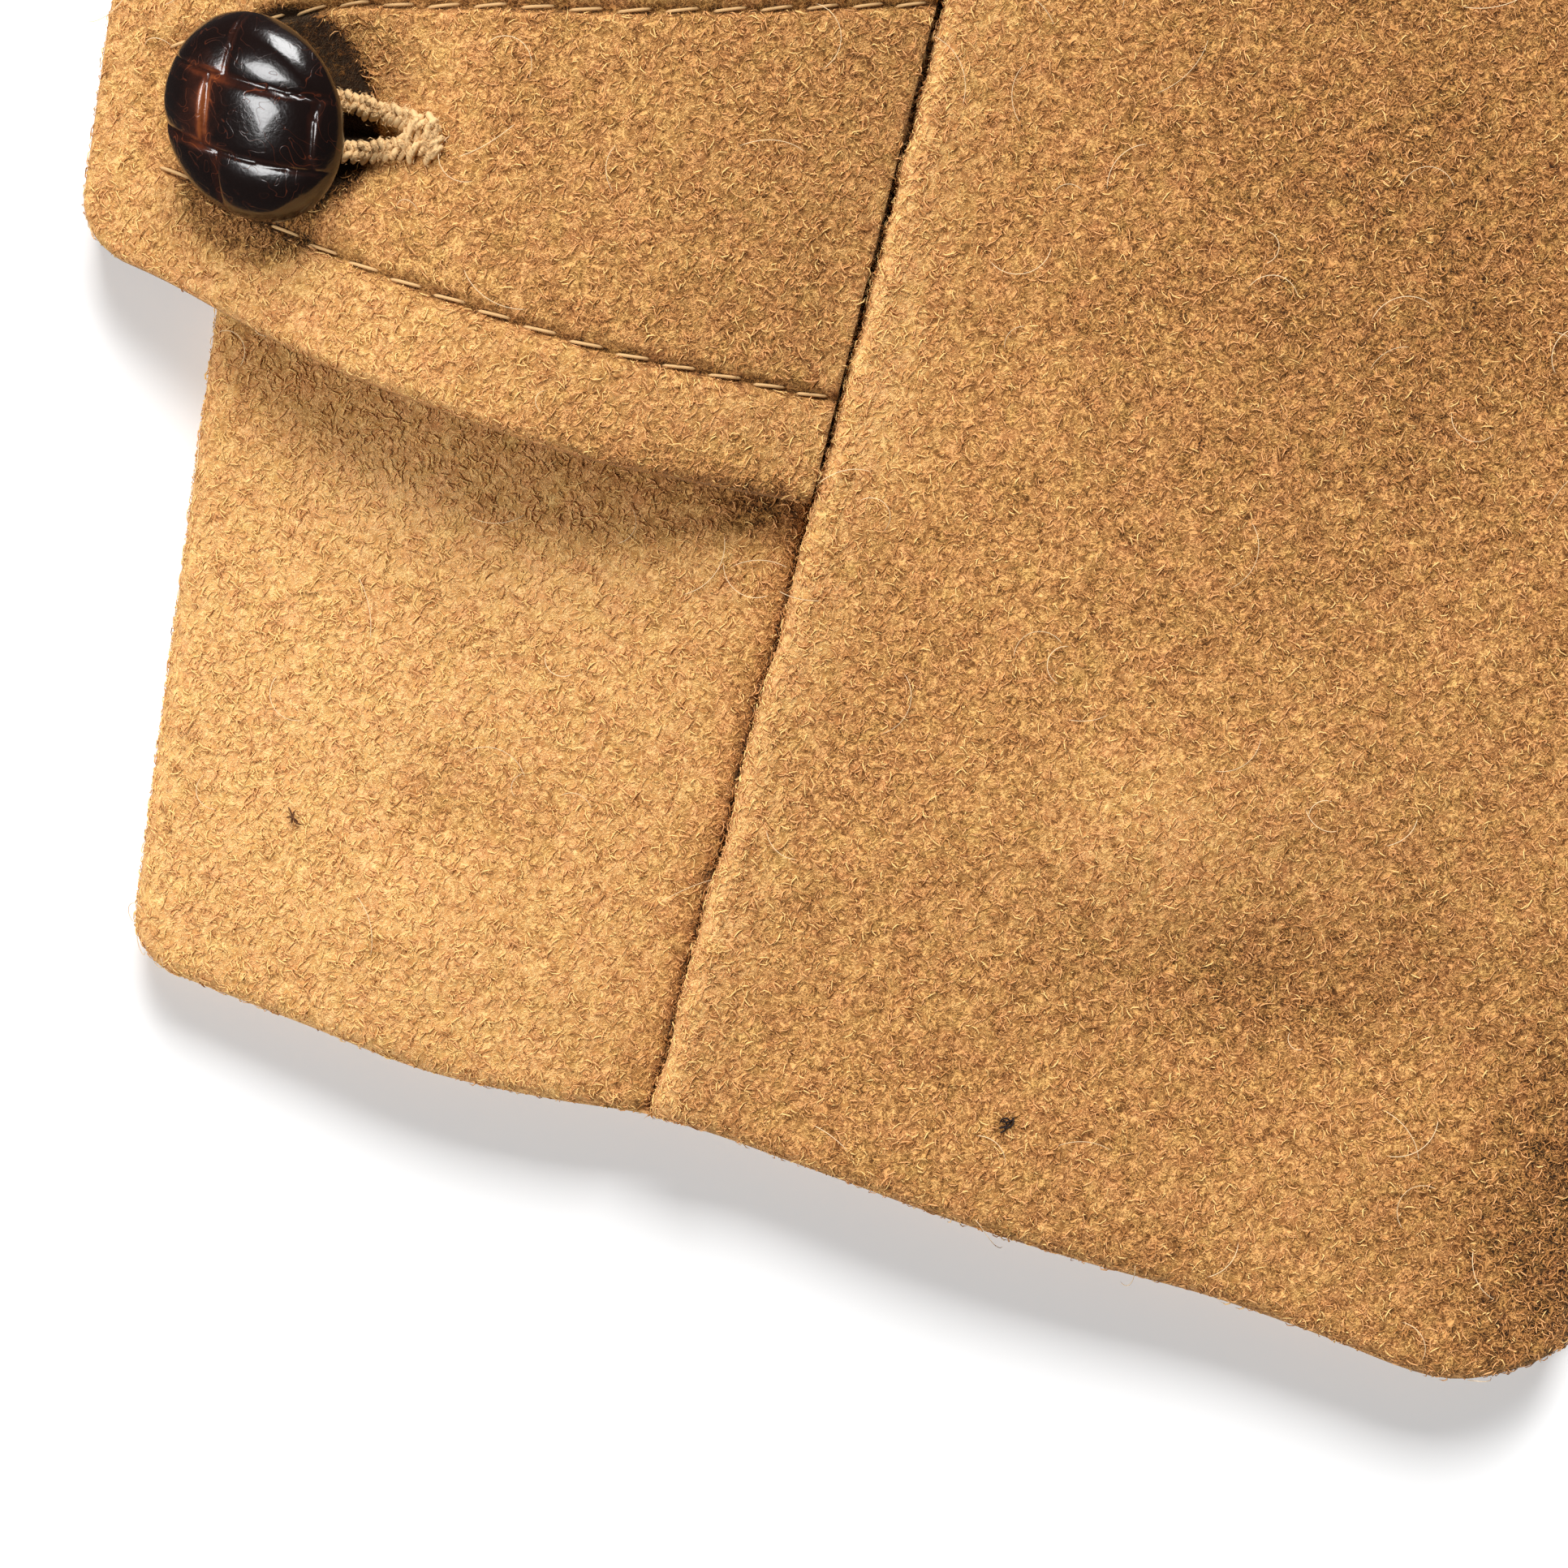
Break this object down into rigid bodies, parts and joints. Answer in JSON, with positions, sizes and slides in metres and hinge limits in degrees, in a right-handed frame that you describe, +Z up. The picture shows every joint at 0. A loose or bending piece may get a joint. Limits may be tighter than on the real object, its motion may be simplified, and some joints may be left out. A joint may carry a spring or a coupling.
{
  "type": "car coat",
  "caption": "Camel wool car coat laid out flat on its back: raglan sleeves, turn-down collar, buttoned front, topstitched cuff tabs and woven leather buttons.",
  "frame": {"origin": "middle of the coat's footprint on the surface it lies on", "axes": "+Z up from the surface, +Y towards the collar, +X towards the wearer's left sleeve"},
  "size_m": [1.4126, 0.9382, 0.0364],
  "materials": {
    "wool_coating": "brushed camel wool melton",
    "woven_leather": "glossy dark brown leather strips"
  },
  "bodies": {
    "root": {"back": "wool_coating", "front_left": "wool_coating", "front_right": "wool_coating", "sleeve_front_left": "wool_coating", "sleeve_back_left": "wool_coating", "sleeve_front_right": "wool_coating", "sleeve_back_right": "wool_coating", "collar": "wool_coating", "cuff_tab_left": "wool_coating", "cuff_tab_right": "wool_coating", "button_cuff_left": "woven_leather", "button_cuff_right": "woven_leather", "button_front_1": "woven_leather", "button_front_2": "woven_leather", "button_front_3": "woven_leather", "button_front_4": "woven_leather"}
  },
  "joints": []
}
